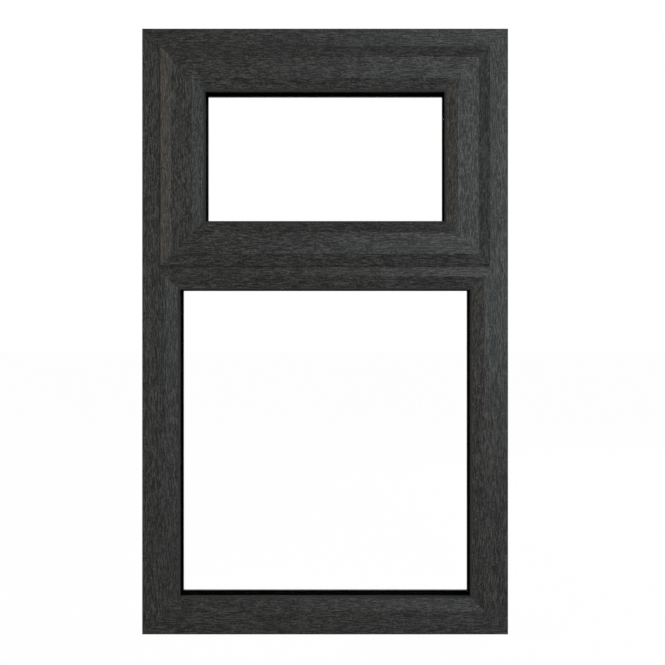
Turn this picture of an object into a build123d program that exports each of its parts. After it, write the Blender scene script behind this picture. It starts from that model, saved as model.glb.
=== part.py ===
import os
from build123d import *

os.makedirs("parts", exist_ok=True)

# Window overall, in mm: X runs along the sill, Y from outside to inside, Z up from the sill's underside
WINDOW_WIDTH = 610
WINDOW_HEIGHT = 1010
PROFILE_DEPTH = 70
TRANSOM_CENTRE = 610

# Outer frame and transom section
FRAME_FLAT = 40
BEVEL_WIDTH = 22
BEVEL_DEPTH = 10
NIB_EDGE = 7
NIB_RADIUS = 6
REBATE = 17
TRANSOM_FLAT = 26
CORNER_RADIUS = 1.5
PROFILE_WALL = 3
LUG_GROOVE_WIDTH = 6
LUG_GROOVE_DEPTH = 4
LUG_GROOVE_INSET = 13

# Opening sash section
SASH_PROUD = 15
SASH_LAP = 9
LIP_BEVEL_WIDTH = 19.5
LIP_EDGE = 3.5
SASH_FLAT = 35
SASH_BEVEL_WIDTH = 20.5
NIB_CLEARANCE = 3
SEAL_GAP = 3
HARDWARE_GROOVE_WIDTH = 16
HARDWARE_GROOVE_DEPTH = 3
HARDWARE_SETBACK = 2

# Sealed units: three panes, two spacers
PANE = 4
GLASS_COVER = 12
SPACER_HEIGHT = 11
PACKER_LENGTH = 80

# Glazing seals and beads
GASKET = 3
GASKET_HEIGHT = 5
BEAD_DEPTH = 11
BEAD_RISE = 0.5
BEAD_CHAMFER = 4
TONGUE = 3
TONGUE_SETBACK = 3.5
SEAL_WIDTH = 6
NIB_SEAL_DEPTH = 3

# Friction stays
STAY_HEAD_GAP = 10
STAY_FOOT_GAP = 47
STAY_PLATE = 2.5
STAY_ARM_WIDTH = 12
RIVET_RADIUS = 3.5

# Locking bar, cams and keeps
LOCK_BAR_LENGTH = 300
CAM_SPACING = 200
CAM_RADIUS = 5
CAM_STEM_RADIUS = 3
CAM_HEAD = 3
KEEP_LENGTH = 50
KEEP_PLATE = 3
KEEP_LIP = 4
CAM_PLAY = 0.5

# Handle on the sash's bottom rail
HANDLE_BASE_LENGTH = 100
HANDLE_BASE_WIDTH = 22
HANDLE_BASE_DEPTH = 13
HANDLE_NECK_RADIUS = 8
HANDLE_NECK_LENGTH = 13
LEVER_LENGTH = 115
LEVER_WIDTH = 18
LEVER_TIP_WIDTH = 14
LEVER_DEPTH = 11

# Lines that follow from the sizes above
FRAME_FACE = FRAME_FLAT + BEVEL_WIDTH
NIB_BACK = BEVEL_DEPTH + NIB_EDGE
PLATFORM = FRAME_FACE - REBATE
TRANSOM_HALF = TRANSOM_FLAT / 2 + BEVEL_WIDTH
FRAME_FRONT = -PROFILE_DEPTH / 2
SASH_FRONT = FRAME_FRONT - SASH_PROUD
SASH_FACE = LIP_BEVEL_WIDTH + SASH_FLAT + SASH_BEVEL_WIDTH
LIP_BACK = SASH_PROUD - SEAL_GAP
SASH_BASE = SASH_LAP + BEVEL_WIDTH + NIB_CLEARANCE
SASH_PLATFORM = SASH_FACE - REBATE
HARDWARE_FRONT = NIB_BACK + SASH_PROUD + HARDWARE_SETBACK
HARDWARE_BACK = HARDWARE_FRONT + HARDWARE_GROOVE_WIDTH
UNIT_FRONT = NIB_BACK + GASKET
BEAD_BACK = PROFILE_DEPTH - BEAD_DEPTH
UNIT_DEPTH = BEAD_BACK - GASKET - UNIT_FRONT
CAVITY = (UNIT_DEPTH - 3 * PANE) / 2
BEAD_HEIGHT = REBATE + BEAD_RISE
PACKER_HEIGHT = REBATE - GLASS_COVER
CHANNEL = REBATE + NIB_CLEARANCE

# Rectangles are left, right, bottom and top lines
FRAME_RECT = (-WINDOW_WIDTH / 2, WINDOW_WIDTH / 2, 0, WINDOW_HEIGHT)
FRAME_EDGE = WINDOW_WIDTH / 2 - FRAME_FLAT
SASH_RECT = (
    -FRAME_EDGE - SASH_LAP,
    FRAME_EDGE + SASH_LAP,
    TRANSOM_CENTRE + TRANSOM_FLAT / 2 - SASH_LAP,
    WINDOW_HEIGHT - FRAME_FLAT + SASH_LAP,
)


def inset(rect, amount):
    left, right, bottom, top = rect
    return (left + amount, right - amount, bottom + amount, top - amount)


def side_plane(side, rect, front):
    # Section plane of one side: its x runs inward from the rectangle's line, its y runs indoors
    left, right, bottom, top = rect
    middle = (left + right) / 2
    level = (bottom + top) / 2
    planes = {
        "bottom": Plane(origin=(middle, front, bottom), x_dir=(0, 0, 1), z_dir=(-1, 0, 0)),
        "top": Plane(origin=(middle, front, top), x_dir=(0, 0, -1), z_dir=(1, 0, 0)),
        "left": Plane(origin=(left, front, level), x_dir=(1, 0, 0), z_dir=(0, 0, 1)),
        "right": Plane(origin=(right, front, level), x_dir=(-1, 0, 0), z_dir=(0, 0, -1)),
    }
    return planes[side]


def mitred_outline(side, rect, start, end):
    # Elevation of one side between two inward distances, its ends cut at 45 degrees
    a_left, a_right, a_bottom, a_top = inset(rect, start)
    b_left, b_right, b_bottom, b_top = inset(rect, end)
    outlines = {
        "bottom": [(a_left, a_bottom), (a_right, a_bottom), (b_right, b_bottom), (b_left, b_bottom)],
        "top": [(a_left, a_top), (a_right, a_top), (b_right, b_top), (b_left, b_top)],
        "left": [(a_left, a_bottom), (b_left, b_bottom), (b_left, b_top), (a_left, a_top)],
        "right": [(a_right, a_bottom), (b_right, b_bottom), (b_right, b_top), (a_right, a_top)],
    }
    return outlines[side]


def round_corners(points, radius):
    fillet([vertices().sort_by_distance(point)[0] for point in points], radius=radius)


def cut_chambers(start, end):
    # Three hollow chambers side by side through a profile
    pitch = (PROFILE_DEPTH - PROFILE_WALL) / 3
    for number in range(3):
        middle = PROFILE_WALL / 2 + (number + 0.5) * pitch
        with Locations(((start + end) / 2, middle)):
            Rectangle(end - start, pitch - PROFILE_WALL, mode=Mode.SUBTRACT)


def bead_groove(line):
    # Groove in a rebate's platform that takes the bead's tongue
    start = BEAD_BACK + TONGUE_SETBACK
    return [
        (line, start),
        (line - TONGUE, start),
        (line - TONGUE, start + TONGUE),
        (line, start + TONGUE),
    ]


def lug_groove(start):
    # Groove in the frame's outer edge for fixing lugs
    return [
        (0, start + LUG_GROOVE_WIDTH),
        (LUG_GROOVE_DEPTH, start + LUG_GROOVE_WIDTH),
        (LUG_GROOVE_DEPTH, start),
        (0, start),
    ]


def frame_section():
    with BuildSketch() as profile:
        with BuildLine():
            Polyline(
                (0, 0),
                (FRAME_FLAT, 0),
                (FRAME_FACE, BEVEL_DEPTH),
                (FRAME_FACE, NIB_BACK),
                (PLATFORM, NIB_BACK),
                *bead_groove(PLATFORM),
                (PLATFORM, PROFILE_DEPTH),
                (0, PROFILE_DEPTH),
                *lug_groove(PROFILE_DEPTH - LUG_GROOVE_INSET - LUG_GROOVE_WIDTH),
                *lug_groove(LUG_GROOVE_INSET),
                close=True,
            )
        make_face()
        round_corners([(FRAME_FACE, BEVEL_DEPTH)], NIB_RADIUS)
        edges_to_ease = [(0, 0), (FRAME_FLAT, 0), (PLATFORM, PROFILE_DEPTH), (0, PROFILE_DEPTH)]
        round_corners(edges_to_ease, CORNER_RADIUS)
        cut_chambers(LUG_GROOVE_DEPTH + PROFILE_WALL, PLATFORM - TONGUE - PROFILE_WALL)
    return profile.sketch


def transom_section():
    flat = TRANSOM_FLAT / 2
    line = TRANSOM_HALF - REBATE
    half = [
        (flat, 0),
        (TRANSOM_HALF, BEVEL_DEPTH),
        (TRANSOM_HALF, NIB_BACK),
        (line, NIB_BACK),
        *bead_groove(line),
        (line, PROFILE_DEPTH),
    ]
    with BuildSketch() as profile:
        with BuildLine():
            Polyline(*half, *[(-across, depth) for across, depth in reversed(half)], close=True)
        make_face()
        round_corners([(TRANSOM_HALF, BEVEL_DEPTH), (-TRANSOM_HALF, BEVEL_DEPTH)], NIB_RADIUS)
        edges_to_ease = [(flat, 0), (line, PROFILE_DEPTH), (-line, PROFILE_DEPTH), (-flat, 0)]
        round_corners(edges_to_ease, CORNER_RADIUS)
        room = line - TONGUE - PROFILE_WALL
        cut_chambers(-room, room)
    return profile.sketch


def sash_section():
    with BuildSketch() as profile:
        with BuildLine():
            Polyline(
                (0, LIP_BACK - LIP_EDGE),
                (LIP_BEVEL_WIDTH, 0),
                (LIP_BEVEL_WIDTH + SASH_FLAT, 0),
                (SASH_FACE, BEVEL_DEPTH),
                (SASH_FACE, NIB_BACK),
                (SASH_PLATFORM, NIB_BACK),
                *bead_groove(SASH_PLATFORM),
                (SASH_PLATFORM, PROFILE_DEPTH),
                (SASH_BASE, PROFILE_DEPTH),
                (SASH_BASE, HARDWARE_BACK),
                (SASH_BASE + HARDWARE_GROOVE_DEPTH, HARDWARE_BACK),
                (SASH_BASE + HARDWARE_GROOVE_DEPTH, HARDWARE_FRONT),
                (SASH_BASE, HARDWARE_FRONT),
                (SASH_BASE, LIP_BACK),
                (0, LIP_BACK),
                close=True,
            )
        make_face()
        round_corners([(SASH_FACE, BEVEL_DEPTH)], NIB_RADIUS)
        edges_to_ease = [
            (0, LIP_BACK - LIP_EDGE),
            (LIP_BEVEL_WIDTH, 0),
            (LIP_BEVEL_WIDTH + SASH_FLAT, 0),
            (SASH_PLATFORM, PROFILE_DEPTH),
            (SASH_BASE, PROFILE_DEPTH),
        ]
        round_corners(edges_to_ease, CORNER_RADIUS)
        start = SASH_BASE + HARDWARE_GROOVE_DEPTH + PROFILE_WALL
        cut_chambers(start, SASH_PLATFORM - TONGUE - PROFILE_WALL)
    return profile.sketch


def bead_section():
    tongue = BEAD_BACK + TONGUE_SETBACK
    with BuildSketch() as profile:
        with BuildLine():
            Polyline(
                (0, BEAD_BACK),
                (BEAD_HEIGHT, BEAD_BACK),
                (BEAD_HEIGHT, PROFILE_DEPTH - BEAD_CHAMFER),
                (BEAD_HEIGHT - BEAD_CHAMFER, PROFILE_DEPTH),
                (0, PROFILE_DEPTH),
                (0, tongue + TONGUE),
                (-TONGUE, tongue + TONGUE),
                (-TONGUE, tongue),
                (0, tongue),
                close=True,
            )
        make_face()
    return profile.sketch


def make_bar(label, plane, outline, section):
    # A length of profile cut to its elevation outline
    with BuildPart() as bar:
        with BuildSketch(plane):
            add(section())
        extrude(amount=WINDOW_WIDTH + WINDOW_HEIGHT, both=True)
        with BuildSketch(Plane.XZ):
            with BuildLine():
                Polyline(*outline, close=True)
            make_face()
        extrude(amount=2 * PROFILE_DEPTH, both=True, mode=Mode.INTERSECT)
    bar.part.label = label
    export_step(bar.part, f"parts/{label}.step")


def make_loop(label, rect, width, front, back):
    # A closed rectangular loop of flat strip, its width measured inward from the rectangle
    left, right, bottom, top = rect
    with BuildPart() as loop:
        with BuildSketch(Plane.XZ.offset(-front)):
            with Locations(((left + right) / 2, (bottom + top) / 2)):
                Rectangle(right - left, top - bottom)
                Rectangle(right - left - 2 * width, top - bottom - 2 * width, mode=Mode.SUBTRACT)
        extrude(amount=front - back)
    loop.part.label = label
    export_step(loop.part, f"parts/{label}.step")


def make_light(name, sight, front):
    # Sealed unit, seals, packers and beads of one light, sized from its outer sight line
    left, right, bottom, top = inset(sight, -GLASS_COVER)
    centre = ((left + right) / 2, (bottom + top) / 2)
    face = front + UNIT_FRONT
    for number, pane_name in enumerate(["outer", "middle", "inner"]):
        depth = face + number * (PANE + CAVITY)
        with BuildPart() as pane:
            with BuildSketch(Plane.XZ.offset(-depth)):
                with Locations(centre):
                    Rectangle(right - left, top - bottom)
            extrude(amount=-PANE)
        pane.part.label = f"{name}_{pane_name}_pane"
        export_step(pane.part, f"parts/{name}_{pane_name}_pane.step")
    for number, spacer_name in enumerate(["outer", "inner"]):
        depth = face + PANE + number * (PANE + CAVITY)
        glass = (left, right, bottom, top)
        make_loop(f"{name}_{spacer_name}_spacer", glass, SPACER_HEIGHT, depth, depth + CAVITY)
    outer_line = inset(sight, -GASKET_HEIGHT)
    make_loop(f"{name}_outer_gasket", outer_line, GASKET_HEIGHT, face - GASKET, face)
    inner_line = inset(sight, BEAD_RISE - GASKET_HEIGHT)
    rear = face + UNIT_DEPTH
    make_loop(f"{name}_inner_gasket", inner_line, GASKET_HEIGHT, rear, rear + GASKET)
    with BuildPart() as packers:
        with BuildSketch(Plane.XY.offset(bottom - PACKER_HEIGHT)):
            with Locations((0, face + UNIT_DEPTH / 2)):
                with GridLocations((right - left) / 2, 0, 2, 1):
                    Rectangle(PACKER_LENGTH, UNIT_DEPTH)
        extrude(amount=PACKER_HEIGHT)
    packers.part.label = f"{name}_packers"
    export_step(packers.part, f"parts/{name}_packers.step")
    platform = inset(sight, -REBATE)
    for side in ["bottom", "top", "left", "right"]:
        outline = mitred_outline(side, platform, -TONGUE, BEAD_HEIGHT)
        make_bar(f"{name}_{side}_bead", side_plane(side, platform, front), outline, bead_section)


# Outer frame: head and sill mitred into jambs that are notched for the transom's pointed ends
for side, label in [("bottom", "frame_sill"), ("top", "frame_head")]:
    outline = mitred_outline(side, FRAME_RECT, 0, FRAME_FACE)
    make_bar(label, side_plane(side, FRAME_RECT, FRAME_FRONT), outline, frame_section)

SIGHT = WINDOW_WIDTH / 2 - FRAME_FACE
LOWER_LINE = TRANSOM_CENTRE - TRANSOM_HALF
UPPER_LINE = TRANSOM_CENTRE + TRANSOM_HALF
for side, hand in [("left", -1), ("right", 1)]:
    corners = mitred_outline(side, FRAME_RECT, 0, FRAME_FACE)
    notch = [
        (hand * SIGHT, LOWER_LINE),
        (hand * (SIGHT + TRANSOM_HALF), TRANSOM_CENTRE),
        (hand * SIGHT, UPPER_LINE),
    ]
    outline = [*corners[:2], *notch, *corners[2:]]
    make_bar(f"frame_{side}_jamb", side_plane(side, FRAME_RECT, FRAME_FRONT), outline, frame_section)

TRANSOM_PLANE = Plane(origin=(0, FRAME_FRONT, TRANSOM_CENTRE), x_dir=(0, 0, 1), z_dir=(-1, 0, 0))
TRANSOM_OUTLINE = [
    (-SIGHT, LOWER_LINE),
    (SIGHT, LOWER_LINE),
    (SIGHT + TRANSOM_HALF, TRANSOM_CENTRE),
    (SIGHT, UPPER_LINE),
    (-SIGHT, UPPER_LINE),
    (-SIGHT - TRANSOM_HALF, TRANSOM_CENTRE),
]
make_bar("transom", TRANSOM_PLANE, TRANSOM_OUTLINE, transom_section)

# Opening sash: rails and stiles mitred at the corners
SASH_NAMES = {
    "bottom": "sash_bottom_rail",
    "top": "sash_top_rail",
    "left": "sash_left_stile",
    "right": "sash_right_stile",
}
for side, label in SASH_NAMES.items():
    outline = mitred_outline(side, SASH_RECT, 0, SASH_FACE)
    make_bar(label, side_plane(side, SASH_RECT, SASH_FRONT), outline, sash_section)

# Seals between sash and frame: one under the sash's lip, one on the edge of the frame's nib
LIP_SEAL_RECT = inset(SASH_RECT, SASH_LAP - SEAL_WIDTH - CORNER_RADIUS)
make_loop("lip_seal", LIP_SEAL_RECT, SEAL_WIDTH, SASH_FRONT + LIP_BACK, FRAME_FRONT)
NIB_SEAL_RECT = (-SIGHT, SIGHT, UPPER_LINE, WINDOW_HEIGHT - FRAME_FACE)
NIB_SEAL_BACK = FRAME_FRONT + NIB_BACK
NIB_SEAL_FRONT = NIB_SEAL_BACK - NIB_SEAL_DEPTH
make_loop("nib_seal", NIB_SEAL_RECT, NIB_CLEARANCE, NIB_SEAL_FRONT, NIB_SEAL_BACK)

# Glazing of the fixed lower light and of the vent
make_light("lower", (-SIGHT, SIGHT, FRAME_FACE, LOWER_LINE), FRAME_FRONT)
make_light("vent", inset(SASH_RECT, SASH_FACE), SASH_FRONT)

# Friction stays: a track on the jamb's platform, an arm over it and a bar in the stile's groove
BASE_RECT = inset(SASH_RECT, SASH_BASE)
HARDWARE_START = SASH_FRONT + HARDWARE_FRONT
HARDWARE_MIDDLE = HARDWARE_START + HARDWARE_GROOVE_WIDTH / 2
STAY_TOP = BASE_RECT[3] - STAY_HEAD_GAP
STAY_LENGTH = STAY_TOP - BASE_RECT[2] - STAY_FOOT_GAP
STAY_MIDDLE = STAY_TOP - STAY_LENGTH / 2
BAR_LEVEL = CHANNEL + HARDWARE_GROOVE_DEPTH - STAY_PLATE
for side, hand in [("left", 1), ("right", -1)]:
    foot = Plane(
        origin=(-hand * (SIGHT + REBATE), HARDWARE_MIDDLE, STAY_MIDDLE),
        x_dir=(0, 0, 1),
        z_dir=(hand, 0, 0),
    )
    with BuildPart() as stay:
        with BuildSketch(foot):
            Rectangle(STAY_LENGTH, HARDWARE_GROOVE_WIDTH)
        extrude(amount=STAY_PLATE)
        with BuildSketch(foot.offset(CHANNEL / 2)):
            SlotOverall(STAY_LENGTH, STAY_ARM_WIDTH)
        extrude(amount=STAY_PLATE)
        with BuildSketch(foot.offset(BAR_LEVEL)):
            Rectangle(STAY_LENGTH, HARDWARE_GROOVE_WIDTH)
        extrude(amount=STAY_PLATE)
        with BuildSketch(foot):
            with GridLocations(STAY_LENGTH - 2 * STAY_ARM_WIDTH, 0, 2, 1):
                Circle(RIVET_RADIUS)
        extrude(amount=BAR_LEVEL)
    stay.part.label = f"{side}_friction_stay"
    export_step(stay.part, f"parts/{side}_friction_stay.step")

# Locking bar in the bottom rail's groove, with mushroom cams that reach into the keeps
BASE_LEVEL = BASE_RECT[2]
KEEP_LEVEL = BASE_LEVEL - CHANNEL
CAM_LEVEL = KEEP_LEVEL + KEEP_PLATE + CAM_HEAD
with BuildPart() as locking_bar:
    with BuildSketch(Plane.XY.offset(BASE_LEVEL)):
        with Locations((0, HARDWARE_MIDDLE)):
            Rectangle(LOCK_BAR_LENGTH, HARDWARE_GROOVE_WIDTH)
    extrude(amount=HARDWARE_GROOVE_DEPTH)
    with BuildSketch(Plane.XY.offset(BASE_LEVEL)):
        with Locations((0, HARDWARE_MIDDLE)):
            with GridLocations(CAM_SPACING, 0, 2, 1):
                Circle(CAM_STEM_RADIUS)
    extrude(amount=CAM_LEVEL - BASE_LEVEL)
    with BuildSketch(Plane.XY.offset(CAM_LEVEL)):
        with Locations((0, HARDWARE_MIDDLE)):
            with GridLocations(CAM_SPACING, 0, 2, 1):
                Circle(CAM_RADIUS)
    extrude(amount=CAM_HEAD)
locking_bar.part.label = "locking_bar"
export_step(locking_bar.part, "parts/locking_bar.step")

LIP_OUTER = HARDWARE_MIDDLE - CAM_RADIUS - CAM_PLAY - KEEP_LIP
with BuildPart() as keeps:
    with BuildSketch(Plane.XY.offset(KEEP_LEVEL)):
        with Locations((0, LIP_OUTER + KEEP_LIP / 2 + HARDWARE_GROOVE_WIDTH / 2)):
            with GridLocations(CAM_SPACING, 0, 2, 1):
                Rectangle(KEEP_LENGTH, HARDWARE_GROOVE_WIDTH + KEEP_LIP)
    extrude(amount=KEEP_PLATE)
    with BuildSketch(Plane.XY.offset(KEEP_LEVEL + KEEP_PLATE)):
        with Locations((0, LIP_OUTER + KEEP_LIP / 2)):
            with GridLocations(CAM_SPACING, 0, 2, 1):
                Rectangle(KEEP_LENGTH, KEEP_LIP)
    extrude(amount=CAM_LEVEL + CAM_HEAD - KEEP_LEVEL - KEEP_PLATE)
keeps.part.label = "lock_keeps"
export_step(keeps.part, "parts/lock_keeps.step")

# Handle: a base screwed to the bottom rail's inner face, with a cranked lever that lies level when shut
RAIL_INSIDE = SASH_FRONT + PROFILE_DEPTH
HANDLE_LEVEL = SASH_RECT[2] + (SASH_BASE + SASH_PLATFORM) / 2
HANDLE_PLANE = Plane(origin=(0, RAIL_INSIDE, HANDLE_LEVEL), x_dir=(-1, 0, 0), z_dir=(0, 1, 0))
with BuildPart() as handle_base:
    with BuildSketch(HANDLE_PLANE):
        SlotOverall(HANDLE_BASE_LENGTH, HANDLE_BASE_WIDTH)
    extrude(amount=HANDLE_BASE_DEPTH)
    fillet(handle_base.faces().sort_by(Axis.Y)[-1].edges(), radius=2 * CORNER_RADIUS)
handle_base.part.label = "handle_base"
export_step(handle_base.part, "parts/handle_base.step")

LEVER_START = HANDLE_BASE_DEPTH + HANDLE_NECK_LENGTH
with BuildPart() as handle_lever:
    with BuildSketch(HANDLE_PLANE.offset(LEVER_START)):
        with BuildLine():
            Polyline(
                (LEVER_WIDTH / 2, LEVER_WIDTH / 2),
                (LEVER_WIDTH / 2, -LEVER_WIDTH / 2),
                (-LEVER_LENGTH, -LEVER_TIP_WIDTH / 2),
                (-LEVER_LENGTH, LEVER_TIP_WIDTH / 2),
                close=True,
            )
        make_face()
        fillet(vertices(), radius=LEVER_TIP_WIDTH / 3)
    extrude(amount=LEVER_DEPTH)
    fillet(handle_lever.faces().sort_by(Axis.Y)[-1].edges(), radius=2 * CORNER_RADIUS)
    with BuildSketch(HANDLE_PLANE.offset(HANDLE_BASE_DEPTH)):
        Circle(HANDLE_NECK_RADIUS)
    extrude(amount=HANDLE_NECK_LENGTH)
handle_lever.part.label = "handle_lever"
export_step(handle_lever.part, "parts/handle_lever.step")
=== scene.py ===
import math

import bmesh
import bpy
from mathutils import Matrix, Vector


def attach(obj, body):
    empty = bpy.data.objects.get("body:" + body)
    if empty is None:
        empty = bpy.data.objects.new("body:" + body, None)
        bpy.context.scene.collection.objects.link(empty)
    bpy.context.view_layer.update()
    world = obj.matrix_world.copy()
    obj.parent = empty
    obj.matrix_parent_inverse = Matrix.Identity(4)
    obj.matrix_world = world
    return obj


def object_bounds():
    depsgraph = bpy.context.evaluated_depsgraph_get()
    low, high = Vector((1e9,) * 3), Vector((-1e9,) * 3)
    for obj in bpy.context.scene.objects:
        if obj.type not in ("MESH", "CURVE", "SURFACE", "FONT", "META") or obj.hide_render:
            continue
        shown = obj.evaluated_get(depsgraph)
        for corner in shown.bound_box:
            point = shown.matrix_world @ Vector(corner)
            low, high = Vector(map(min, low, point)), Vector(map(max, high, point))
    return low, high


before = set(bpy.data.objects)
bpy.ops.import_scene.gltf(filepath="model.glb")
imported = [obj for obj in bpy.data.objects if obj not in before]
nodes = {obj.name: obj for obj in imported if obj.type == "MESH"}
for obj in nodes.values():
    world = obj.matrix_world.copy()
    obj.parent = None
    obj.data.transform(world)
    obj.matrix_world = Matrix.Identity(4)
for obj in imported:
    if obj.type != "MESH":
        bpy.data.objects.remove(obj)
cad_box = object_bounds()

# Foil on the profiles: a thin dark grey film with a pressed wood grain, laminated over extruded plastic.
# Its fine pores and streaks run along each bar, waver a little, and so turn at every welded corner.
WAVER_SCALE = 60.0
WAVER_SHIFT = 0.0006
PORE_SHARE = 0.5
CLOUD_SHARE = 0.06
GRAIN_DEPTH = 0.00042
foil_grain = bpy.data.node_groups.new("foil_grain", "ShaderNodeTree")
foil_grain.interface.new_socket("Along Bar", in_out="INPUT", socket_type="NodeSocketVector")
foil_grain.interface.new_socket("Color", in_out="OUTPUT", socket_type="NodeSocketColor")
foil_grain.interface.new_socket("Roughness", in_out="OUTPUT", socket_type="NodeSocketFloat")
foil_grain.interface.new_socket("Height", in_out="OUTPUT", socket_type="NodeSocketFloat")
gn = foil_grain.nodes
gl = foil_grain.links
grain_in = gn.new("NodeGroupInput")
grain_out = gn.new("NodeGroupOutput")
waver_size = gn.new("ShaderNodeMapping")
waver_size.inputs["Scale"].default_value = (WAVER_SCALE, WAVER_SCALE, WAVER_SCALE)
waver = gn.new("ShaderNodeTexNoise")
waver.inputs["Scale"].default_value = 1.0
waver.inputs["Detail"].default_value = 1.0
waver_shift = gn.new("ShaderNodeVectorMath")
waver_shift.operation = "MULTIPLY_ADD"
waver_shift.inputs[1].default_value = (WAVER_SHIFT, WAVER_SHIFT, 0.0)
gl.new(grain_in.outputs["Along Bar"], waver_size.inputs["Vector"])
gl.new(waver_size.outputs["Vector"], waver.inputs["Vector"])
gl.new(waver.outputs["Color"], waver_shift.inputs[0])
gl.new(grain_in.outputs["Along Bar"], waver_shift.inputs[2])


def grain_layer(across, along, detail):
    stretch = gn.new("ShaderNodeMapping")
    stretch.inputs["Scale"].default_value = (across, across, along)
    noise = gn.new("ShaderNodeTexNoise")
    noise.inputs["Scale"].default_value = 1.0
    noise.inputs["Detail"].default_value = detail
    gl.new(waver_shift.outputs["Vector"], stretch.inputs["Vector"])
    gl.new(stretch.outputs["Vector"], noise.inputs["Vector"])
    return noise.outputs["Fac"]


def grain_mix(first, second, share):
    mix = gn.new("ShaderNodeMix")
    mix.inputs[0].default_value = share
    gl.new(first, mix.inputs[2])
    gl.new(second, mix.inputs[3])
    return mix.outputs[0]


streaks = grain_layer(across=1000.0, along=70.0, detail=1.0)
pores = grain_layer(across=1300.0, along=270.0, detail=1.0)
clouds = grain_layer(across=70.0, along=14.0, detail=2.0)
fine = grain_mix(streaks, pores, PORE_SHARE)
grain = grain_mix(fine, clouds, CLOUD_SHARE)
shade = gn.new("ShaderNodeValToRGB")
shade.color_ramp.elements[0].position = 0.42
shade.color_ramp.elements[0].color = (0.0020, 0.0020, 0.0019, 1)
shade.color_ramp.elements[1].position = 0.59
shade.color_ramp.elements[1].color = (0.0510, 0.0514, 0.0490, 1)
middle_tone = shade.color_ramp.elements.new(0.50)
middle_tone.color = (0.0086, 0.0087, 0.0082, 1)
sheen = gn.new("ShaderNodeMapRange")
sheen.inputs["From Min"].default_value = 0.35
sheen.inputs["From Max"].default_value = 0.65
sheen.inputs["To Min"].default_value = 0.45
sheen.inputs["To Max"].default_value = 0.25
gl.new(grain, shade.inputs["Fac"])
gl.new(grain, sheen.inputs["Value"])
gl.new(shade.outputs["Color"], grain_out.inputs["Color"])
gl.new(sheen.outputs["Result"], grain_out.inputs["Roughness"])
gl.new(fine, grain_out.inputs["Height"])


def emboss(material, height, strength, depth):
    tree = material.node_tree
    bump = tree.nodes.new("ShaderNodeBump")
    bump.inputs["Strength"].default_value = strength
    bump.inputs["Distance"].default_value = depth
    tree.links.new(height, bump.inputs["Height"])
    tree.links.new(bump.outputs["Normal"], tree.nodes["Principled BSDF"].inputs["Normal"])


def foil_material(name, turn):
    material = bpy.data.materials.new(name)
    material.use_nodes = True
    tree = material.node_tree
    place = tree.nodes.new("ShaderNodeTexCoord")
    along = tree.nodes.new("ShaderNodeMapping")
    along.inputs["Rotation"].default_value = (0, turn, 0)
    film = tree.nodes.new("ShaderNodeGroup")
    film.node_tree = foil_grain
    surface = tree.nodes["Principled BSDF"]
    surface.inputs["Specular IOR Level"].default_value = 0.16
    tree.links.new(place.outputs["Object"], along.inputs["Vector"])
    tree.links.new(along.outputs["Vector"], film.inputs["Along Bar"])
    tree.links.new(film.outputs["Color"], surface.inputs["Base Color"])
    tree.links.new(film.outputs["Roughness"], surface.inputs["Roughness"])
    emboss(material, film.outputs["Height"], strength=1.0, depth=GRAIN_DEPTH)
    return material


foil_upright = foil_material("foil_upright", turn=0.0)
foil_level = foil_material("foil_level", turn=math.radians(90))

# Mottling: bare plastic, rubber, metal and paint are never quite even, so their tone and sheen vary.
# One pattern serves all of them, and each material sets its own spacing, tones and sheen.
mottle = bpy.data.node_groups.new("mottle", "ShaderNodeTree")
mottle.interface.new_socket("Place", in_out="INPUT", socket_type="NodeSocketVector")
mottle.interface.new_socket("Detail", in_out="INPUT", socket_type="NodeSocketFloat")
mottle.interface.new_socket("Dark", in_out="INPUT", socket_type="NodeSocketColor")
mottle.interface.new_socket("Light", in_out="INPUT", socket_type="NodeSocketColor")
mottle.interface.new_socket("Smooth", in_out="INPUT", socket_type="NodeSocketFloat")
mottle.interface.new_socket("Rough", in_out="INPUT", socket_type="NodeSocketFloat")
mottle.interface.new_socket("Color", in_out="OUTPUT", socket_type="NodeSocketColor")
mottle.interface.new_socket("Roughness", in_out="OUTPUT", socket_type="NodeSocketFloat")
mottle.interface.new_socket("Height", in_out="OUTPUT", socket_type="NodeSocketFloat")
mottle_in = mottle.nodes.new("NodeGroupInput")
mottle_out = mottle.nodes.new("NodeGroupOutput")
specks = mottle.nodes.new("ShaderNodeTexNoise")
specks.inputs["Scale"].default_value = 1.0
speck_tone = mottle.nodes.new("ShaderNodeMix")
speck_tone.data_type = "RGBA"
speck_sheen = mottle.nodes.new("ShaderNodeMix")
mottle.links.new(mottle_in.outputs["Place"], specks.inputs["Vector"])
mottle.links.new(mottle_in.outputs["Detail"], specks.inputs["Detail"])
mottle.links.new(specks.outputs["Fac"], speck_tone.inputs[0])
mottle.links.new(mottle_in.outputs["Dark"], speck_tone.inputs[6])
mottle.links.new(mottle_in.outputs["Light"], speck_tone.inputs[7])
mottle.links.new(specks.outputs["Fac"], speck_sheen.inputs[0])
mottle.links.new(mottle_in.outputs["Smooth"], speck_sheen.inputs[2])
mottle.links.new(mottle_in.outputs["Rough"], speck_sheen.inputs[3])
mottle.links.new(speck_tone.outputs[2], mottle_out.inputs["Color"])
mottle.links.new(speck_sheen.outputs[0], mottle_out.inputs["Roughness"])
mottle.links.new(specks.outputs["Fac"], mottle_out.inputs["Height"])


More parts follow.
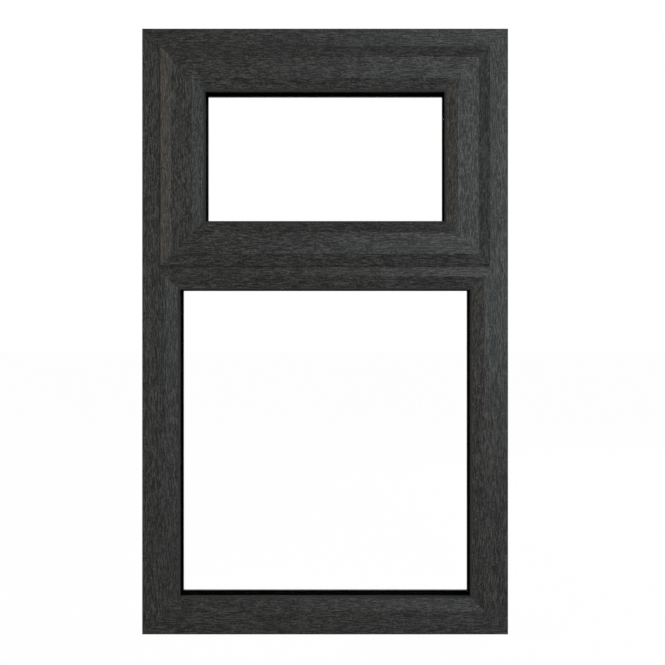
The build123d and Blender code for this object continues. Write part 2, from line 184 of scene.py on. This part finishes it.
def mottled_material(name, spacing, detail, dark, light, smooth, rough, specular):
    material = bpy.data.materials.new(name)
    material.use_nodes = True
    tree = material.node_tree
    place = tree.nodes.new("ShaderNodeTexCoord")
    place.name = "place"
    spread = tree.nodes.new("ShaderNodeMapping")
    spread.inputs["Scale"].default_value = spacing
    pattern = tree.nodes.new("ShaderNodeGroup")
    pattern.name = "pattern"
    pattern.node_tree = mottle
    pattern.inputs["Detail"].default_value = detail
    pattern.inputs["Dark"].default_value = (*dark, 1)
    pattern.inputs["Light"].default_value = (*light, 1)
    surface = tree.nodes["Principled BSDF"]
    surface.inputs["Specular IOR Level"].default_value = specular
    tree.links.new(place.outputs["Object"], spread.inputs["Vector"])
    tree.links.new(spread.outputs["Vector"], pattern.inputs["Place"])
    tree.links.new(pattern.outputs["Color"], surface.inputs["Base Color"])
    if smooth == rough:
        surface.inputs["Roughness"].default_value = rough
    else:
        pattern.inputs["Smooth"].default_value = smooth
        pattern.inputs["Rough"].default_value = rough
        tree.links.new(pattern.outputs["Roughness"], surface.inputs["Roughness"])
    return material


# Outer frame and transom: extruded plastic bars, cut at 45 degrees and welded at the corners.
# The foil wraps the faces that show. The outer edges, which go into the wall, are bare plastic with
# drawn die lines, and the rounded nib round each light is smooth.
FRAME_LOW = Vector(cad_box[0])
FRAME_HIGH = Vector(cad_box[1])
WALL_EDGE = 0.0043
EDGE_ROUND = 0.0016
NIB_START = 0.0575
NIB_BACK = -0.019
TRANSOM_LEVEL = 0.610
TRANSOM_NIB = 0.0305
EDGE_ON = 0.3
FLAT_ON = 0.88
bare_plastic = mottled_material(
    "bare_plastic", spacing=(4.0, 700.0, 4.0), detail=4.0,
    dark=(0.014, 0.0143, 0.0143), light=(0.026, 0.0265, 0.0265), smooth=0.38, rough=0.52, specular=0.3,
)
nib_plastic = mottled_material(
    "nib_plastic", spacing=(300.0, 300.0, 300.0), detail=3.0,
    dark=(0.024, 0.024, 0.0238), light=(0.040, 0.040, 0.0396), smooth=0.7, rough=0.7, specular=0.0,
)


def dress(name, *materials):
    mesh = nodes[name].data
    mesh.materials.clear()
    for material in materials:
        mesh.materials.append(material)
    return mesh


def from_edge(at, low, high):
    return min(at.x - low.x, high.x - at.x, at.z - low.z, high.z - at.z)


for name in ["frame_head", "frame_sill", "frame_left_jamb", "frame_right_jamb", "transom"]:
    bar = dress(name, foil_upright if "jamb" in name else foil_level, bare_plastic, nib_plastic)
    for face in bar.polygons:
        at = face.center
        tilt = abs(face.normal.y)
        inside = from_edge(at, FRAME_LOW, FRAME_HIGH)
        past_bevel = abs(at.z - TRANSOM_LEVEL) > TRANSOM_NIB if name == "transom" else inside > NIB_START
        on_nib = past_bevel and at.y < NIB_BACK
        if inside < WALL_EDGE and tilt < EDGE_ON:
            face.material_index = 1
        elif (inside < EDGE_ROUND or on_nib) and tilt < FLAT_ON:
            face.material_index = 2

# Opening sash: the same foiled plastic, cut at 45 degrees and welded at its four corners.
# It stands proud of the frame, and its lip closes over the frame's face all round.
SASH_LOW = Vector((-0.274, 0, 0.614))
SASH_HIGH = Vector((0.274, 0, 0.979))
SASH_NIB_START = 0.0705
SASH_NIB_BACK = -0.034
for name in ["sash_top_rail", "sash_bottom_rail", "sash_left_stile", "sash_right_stile"]:
    bar = dress(name, foil_upright if "stile" in name else foil_level, nib_plastic)
    for face in bar.polygons:
        at = face.center
        past_bevel = from_edge(at, SASH_LOW, SASH_HIGH) > SASH_NIB_START
        if past_bevel and at.y < SASH_NIB_BACK and abs(face.normal.y) < FLAT_ON:
            face.material_index = 1

# Gaskets and seals: black rubber strips, pushed into grooves in the profiles.
# They hold the glass front and back, and close the gap between sash and frame.
seal_rubber = mottled_material(
    "seal_rubber", spacing=(240.0, 240.0, 240.0), detail=3.0,
    dark=(0.0006, 0.0006, 0.0006), light=(0.0025, 0.0025, 0.0025), smooth=0.62, rough=0.82, specular=0.0,
)
gaskets = ["lower_outer_gasket", "lower_inner_gasket", "vent_outer_gasket", "vent_inner_gasket"]
for name in gaskets + ["lip_seal", "nib_seal"]:
    dress(name, seal_rubber)

# Packers: moulded plastic blocks that carry each sealed unit clear of the rebate's drain.
# Spacers: black warm-edge bars with a ribbed face, glued between the panes to hold them apart.
RIB_SCALE = 260.0
RIB_DEPTH = 0.0002
spacer_black = mottled_material(
    "spacer_black", spacing=(380.0, 380.0, 380.0), detail=2.0,
    dark=(0.0008, 0.0008, 0.0009), light=(0.0030, 0.0030, 0.0032), smooth=0.62, rough=0.62, specular=0.0,
)
ribs = spacer_black.node_tree.nodes.new("ShaderNodeTexWave")
ribs.bands_direction = "DIAGONAL"
ribs.inputs["Scale"].default_value = RIB_SCALE
rib_place = spacer_black.node_tree.nodes["place"]
spacer_black.node_tree.links.new(rib_place.outputs["Object"], ribs.inputs["Vector"])
emboss(spacer_black, ribs.outputs["Fac"], strength=0.3, depth=RIB_DEPTH)
for light in ["lower", "vent"]:
    for piece in ["outer_spacer", "inner_spacer", "packers"]:
        dress(f"{light}_{piece}", spacer_black)

# Sealed units: three panes of clear float glass in each light, edge-sealed at the works.
# They are wiped clean, so only a trace of haze shows, and they let the lamps' light through.
clear_glass = bpy.data.materials.new("clear_glass")
clear_glass.use_nodes = True
cn = clear_glass.node_tree.nodes
cl = clear_glass.node_tree.links
glass_place = cn.new("ShaderNodeTexCoord")
glass_haze = cn.new("ShaderNodeTexNoise")
glass_haze.inputs["Scale"].default_value = 7.0
glass_wipe = cn.new("ShaderNodeMapRange")
glass_wipe.inputs["To Min"].default_value = 0.0
glass_wipe.inputs["To Max"].default_value = 0.012
glass_surface = cn["Principled BSDF"]
glass_surface.inputs["Base Color"].default_value = (1.0, 1.0, 1.0, 1.0)
glass_surface.inputs["IOR"].default_value = 1.45
glass_surface.inputs["Specular Tint"].default_value = (0.0003, 0.0003, 0.0003, 1.0)
glass_surface.inputs["Transmission Weight"].default_value = 1.0
glass_path = cn.new("ShaderNodeLightPath")
glass_open = cn.new("ShaderNodeBsdfTransparent")
glass_mix = cn.new("ShaderNodeMixShader")
cl.new(glass_place.outputs["Object"], glass_haze.inputs["Vector"])
cl.new(glass_haze.outputs["Fac"], glass_wipe.inputs["Value"])
cl.new(glass_wipe.outputs["Result"], glass_surface.inputs["Roughness"])
cl.new(glass_path.outputs["Is Shadow Ray"], glass_mix.inputs[0])
cl.new(glass_surface.outputs[0], glass_mix.inputs[1])
cl.new(glass_open.outputs[0], glass_mix.inputs[2])
cl.new(glass_mix.outputs[0], cn["Material Output"].inputs["Surface"])
for light in ["lower", "vent"]:
    for place in ["outer", "middle", "inner"]:
        dress(f"{light}_{place}_pane", clear_glass)

# Glazing beads: slim foiled strips, mitred at the corners and clipped into the rebates from inside.
# They press the inner gasket against the glass.
for light in ["lower", "vent"]:
    for side in ["top", "bottom", "left", "right"]:
        dress(f"{light}_{side}_bead", foil_upright if side in ("left", "right") else foil_level)

# Friction stays, locking bar and keeps: pressed stainless steel and plated zinc.
# They are screwed into the grooves of the sash and the channel of the frame.
fitting_steel = mottled_material(
    "fitting_steel", spacing=(120.0, 900.0, 120.0), detail=3.0,
    dark=(0.42, 0.42, 0.41), light=(0.60, 0.60, 0.58), smooth=0.26, rough=0.46, specular=0.5,
)
fitting_steel.node_tree.nodes["Principled BSDF"].inputs["Metallic"].default_value = 1.0
for name in ["left_friction_stay", "right_friction_stay", "locking_bar", "lock_keeps"]:
    dress(name, fitting_steel)

# Handle: a die-cast base and a cranked lever with a fine black powder coat.
# The base is screwed to the inner face of the sash's bottom rail.
COAT_DEPTH = 0.0001
handle_coat = mottled_material(
    "handle_coat", spacing=(900.0, 900.0, 900.0), detail=2.0,
    dark=(0.010, 0.010, 0.0105), light=(0.020, 0.020, 0.021), smooth=0.42, rough=0.42, specular=0.5,
)
coat_height = handle_coat.node_tree.nodes["pattern"].outputs["Height"]
emboss(handle_coat, coat_height, strength=0.2, depth=COAT_DEPTH)
for name in ["handle_base", "handle_lever"]:
    dress(name, handle_coat)

# Handle screws: two plated machine screws with a shallow domed head and a cross recess.
# They hold the handle's base to the bottom rail, one on each side of the lever's neck.
SCREW_SPREAD = 0.030
SCREW_RADIUS = 0.0036
SCREW_CROWN = 0.00288
SCREW_RISE = 0.0009
SCREW_SIDES = 32
CROSS_ARM = 0.0022
CROSS_HALF = 0.00045
CROSS_DEPTH = 0.0007
BASE_FACE = 0.033
HANDLE_LEVEL = 0.660
CROSS = [
    (CROSS_HALF, CROSS_ARM), (CROSS_HALF, CROSS_HALF), (CROSS_ARM, CROSS_HALF),
    (CROSS_ARM, -CROSS_HALF), (CROSS_HALF, -CROSS_HALF), (CROSS_HALF, -CROSS_ARM),
    (-CROSS_HALF, -CROSS_ARM), (-CROSS_HALF, -CROSS_HALF), (-CROSS_ARM, -CROSS_HALF),
    (-CROSS_ARM, CROSS_HALF), (-CROSS_HALF, CROSS_HALF), (-CROSS_HALF, CROSS_ARM),
]
for hand, offset in [("left", -SCREW_SPREAD), ("right", SCREW_SPREAD)]:
    screw_shape = bmesh.new()
    crown = bmesh.ops.create_circle(screw_shape, cap_ends=False, segments=SCREW_SIDES, radius=SCREW_CROWN)
    rim_edges = list({edge for vert in crown["verts"] for edge in vert.link_edges})
    lip = [screw_shape.verts.new((across, up, 0)) for across, up in CROSS]
    lip_edges = [screw_shape.edges.new((lip[i - 1], lip[i])) for i in range(len(lip))]
    bmesh.ops.triangle_fill(screw_shape, use_beauty=True, edges=rim_edges + lip_edges)
    drop = bmesh.ops.extrude_edge_only(screw_shape, edges=lip_edges)["geom"]
    recess_verts = [part for part in drop if isinstance(part, bmesh.types.BMVert)]
    drop_edges = [part for part in drop if isinstance(part, bmesh.types.BMEdge)]
    recess_edges = [edge for edge in drop_edges if all(vert in recess_verts for vert in edge.verts)]
    bmesh.ops.translate(screw_shape, verts=recess_verts, vec=(0, 0, -CROSS_DEPTH))
    bmesh.ops.edgenet_fill(screw_shape, edges=recess_edges)
    skirt = bmesh.ops.extrude_edge_only(screw_shape, edges=rim_edges)["geom"]
    skirt_verts = [part for part in skirt if isinstance(part, bmesh.types.BMVert)]
    flare = SCREW_RADIUS / SCREW_CROWN
    bmesh.ops.scale(screw_shape, verts=skirt_verts, vec=(flare, flare, 1))
    bmesh.ops.translate(screw_shape, verts=skirt_verts, vec=(0, 0, -SCREW_RISE))
    bmesh.ops.recalc_face_normals(screw_shape, faces=screw_shape.faces)
    for vert in screw_shape.verts:
        across, up, out = vert.co
        vert.co = (offset - across, BASE_FACE + SCREW_RISE + out, HANDLE_LEVEL + up)
    screw_mesh = bpy.data.meshes.new(f"{hand}_handle_screw")
    screw_shape.to_mesh(screw_mesh)
    screw_shape.free()
    screw = bpy.data.objects.new(f"{hand}_handle_screw", screw_mesh)
    bpy.context.scene.collection.objects.link(screw)
    screw_mesh.materials.append(fitting_steel)
    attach(screw, "root")

# Studio: a white floor that keeps a faint shadow of the window, with white all round it.
# A large cool soft lamp stands on the right, a warm one on the left and a fill behind.
FLOOR_SIZE = 30.0
FLOOR_DROP = 0.001
FLOOR_WHITE = 0.98
WINDOW_MIDDLE = Vector((0, 0, 0.5))


def seen_directly(tree):
    rays = tree.nodes.new("ShaderNodeLightPath")
    seen = rays.outputs["Is Camera Ray"]
    for kind in ["Is Glossy Ray", "Is Transmission Ray"]:
        either = tree.nodes.new("ShaderNodeMath")
        either.operation = "MAXIMUM"
        tree.links.new(seen, either.inputs[0])
        tree.links.new(rays.outputs[kind], either.inputs[1])
        seen = either.outputs[0]
    return seen


floor_mesh = bpy.data.meshes.new("floor")
floor_shape = bmesh.new()
bmesh.ops.create_grid(floor_shape, x_segments=1, y_segments=1, size=FLOOR_SIZE)
bmesh.ops.translate(floor_shape, verts=floor_shape.verts, vec=(0, 0, -FLOOR_DROP))
floor_shape.to_mesh(floor_mesh)
floor_shape.free()
floor = bpy.data.objects.new("floor", floor_mesh)
bpy.context.scene.collection.objects.link(floor)
pale_floor = bpy.data.materials.new("pale_floor")
pale_floor.use_nodes = True
pn = pale_floor.node_tree.nodes
pl = pale_floor.node_tree.links
floor_surface = pn["Principled BSDF"]
floor_surface.inputs["Base Color"].default_value = (0.9, 0.9, 0.9, 1)
floor_surface.inputs["Roughness"].default_value = 0.9
floor_surface.inputs["Specular IOR Level"].default_value = 0.1
floor_glow = pn.new("ShaderNodeEmission")
floor_share = pn.new("ShaderNodeMath")
floor_share.operation = "MULTIPLY"
floor_share.inputs[1].default_value = FLOOR_WHITE
floor_mix = pn.new("ShaderNodeMixShader")
pl.new(seen_directly(pale_floor.node_tree), floor_share.inputs[0])
pl.new(floor_share.outputs[0], floor_mix.inputs[0])
pl.new(floor_surface.outputs[0], floor_mix.inputs[1])
pl.new(floor_glow.outputs[0], floor_mix.inputs[2])
pl.new(floor_mix.outputs[0], pn["Material Output"].inputs["Surface"])
floor_mesh.materials.append(pale_floor)

studio = bpy.data.worlds.new("studio")
bpy.context.scene.world = studio
studio.use_nodes = True
wn = studio.node_tree.nodes
wl = studio.node_tree.links
room_light = wn["Background"]
room_light.inputs["Color"].default_value = (1.0, 1.0, 1.0, 1)
room_light.inputs["Strength"].default_value = 0.35
room_white = wn.new("ShaderNodeBackground")
room_white.inputs["Color"].default_value = (1.0, 1.0, 1.0, 1)
room_white.inputs["Strength"].default_value = 1.0
room_mix = wn.new("ShaderNodeMixShader")
wl.new(seen_directly(studio.node_tree), room_mix.inputs[0])
wl.new(room_light.outputs[0], room_mix.inputs[1])
wl.new(room_white.outputs[0], room_mix.inputs[2])
wl.new(room_mix.outputs[0], wn["World Output"].inputs["Surface"])


def soft_lamp(name, place, width, height, power, colour):
    data = bpy.data.lights.new(name, "AREA")
    data.shape = "RECTANGLE"
    data.size = width
    data.size_y = height
    data.energy = power
    data.color = colour
    lamp = bpy.data.objects.new(name, data)
    lamp.location = place
    lamp.rotation_euler = (WINDOW_MIDDLE - Vector(place)).to_track_quat("-Z", "Y").to_euler()
    bpy.context.scene.collection.objects.link(lamp)


soft_lamp("cool_right", (0.90, -2.29, 0.98), width=1.27, height=1.5, power=35.6, colour=(0.90, 0.98, 1.0))
soft_lamp("warm_left", (-2.24, -1.20, 0.92), width=1.5, height=1.5, power=24.0, colour=(1.0, 0.85, 0.68))
soft_lamp("back_fill", (2.5, 2.2, 2.0), width=2.4, height=2.2, power=75.0, colour=(1.0, 1.0, 1.0))

# Camera: square on to the outside face, a little right of the window's middle.
# A long lens keeps the sides of the frame parallel, with a trace of depth in the reveals.
view = bpy.data.cameras.new("view")
view.sensor_width = 36.0
view.lens = 66.6
camera = bpy.data.objects.new("camera", view)
camera.location = (0.01233, -2.085, 0.5034)
camera.rotation_euler = (math.radians(90), 0, 0)
bpy.context.scene.collection.objects.link(camera)
bpy.context.scene.camera = camera
bpy.context.scene.view_settings.view_transform = "Standard"
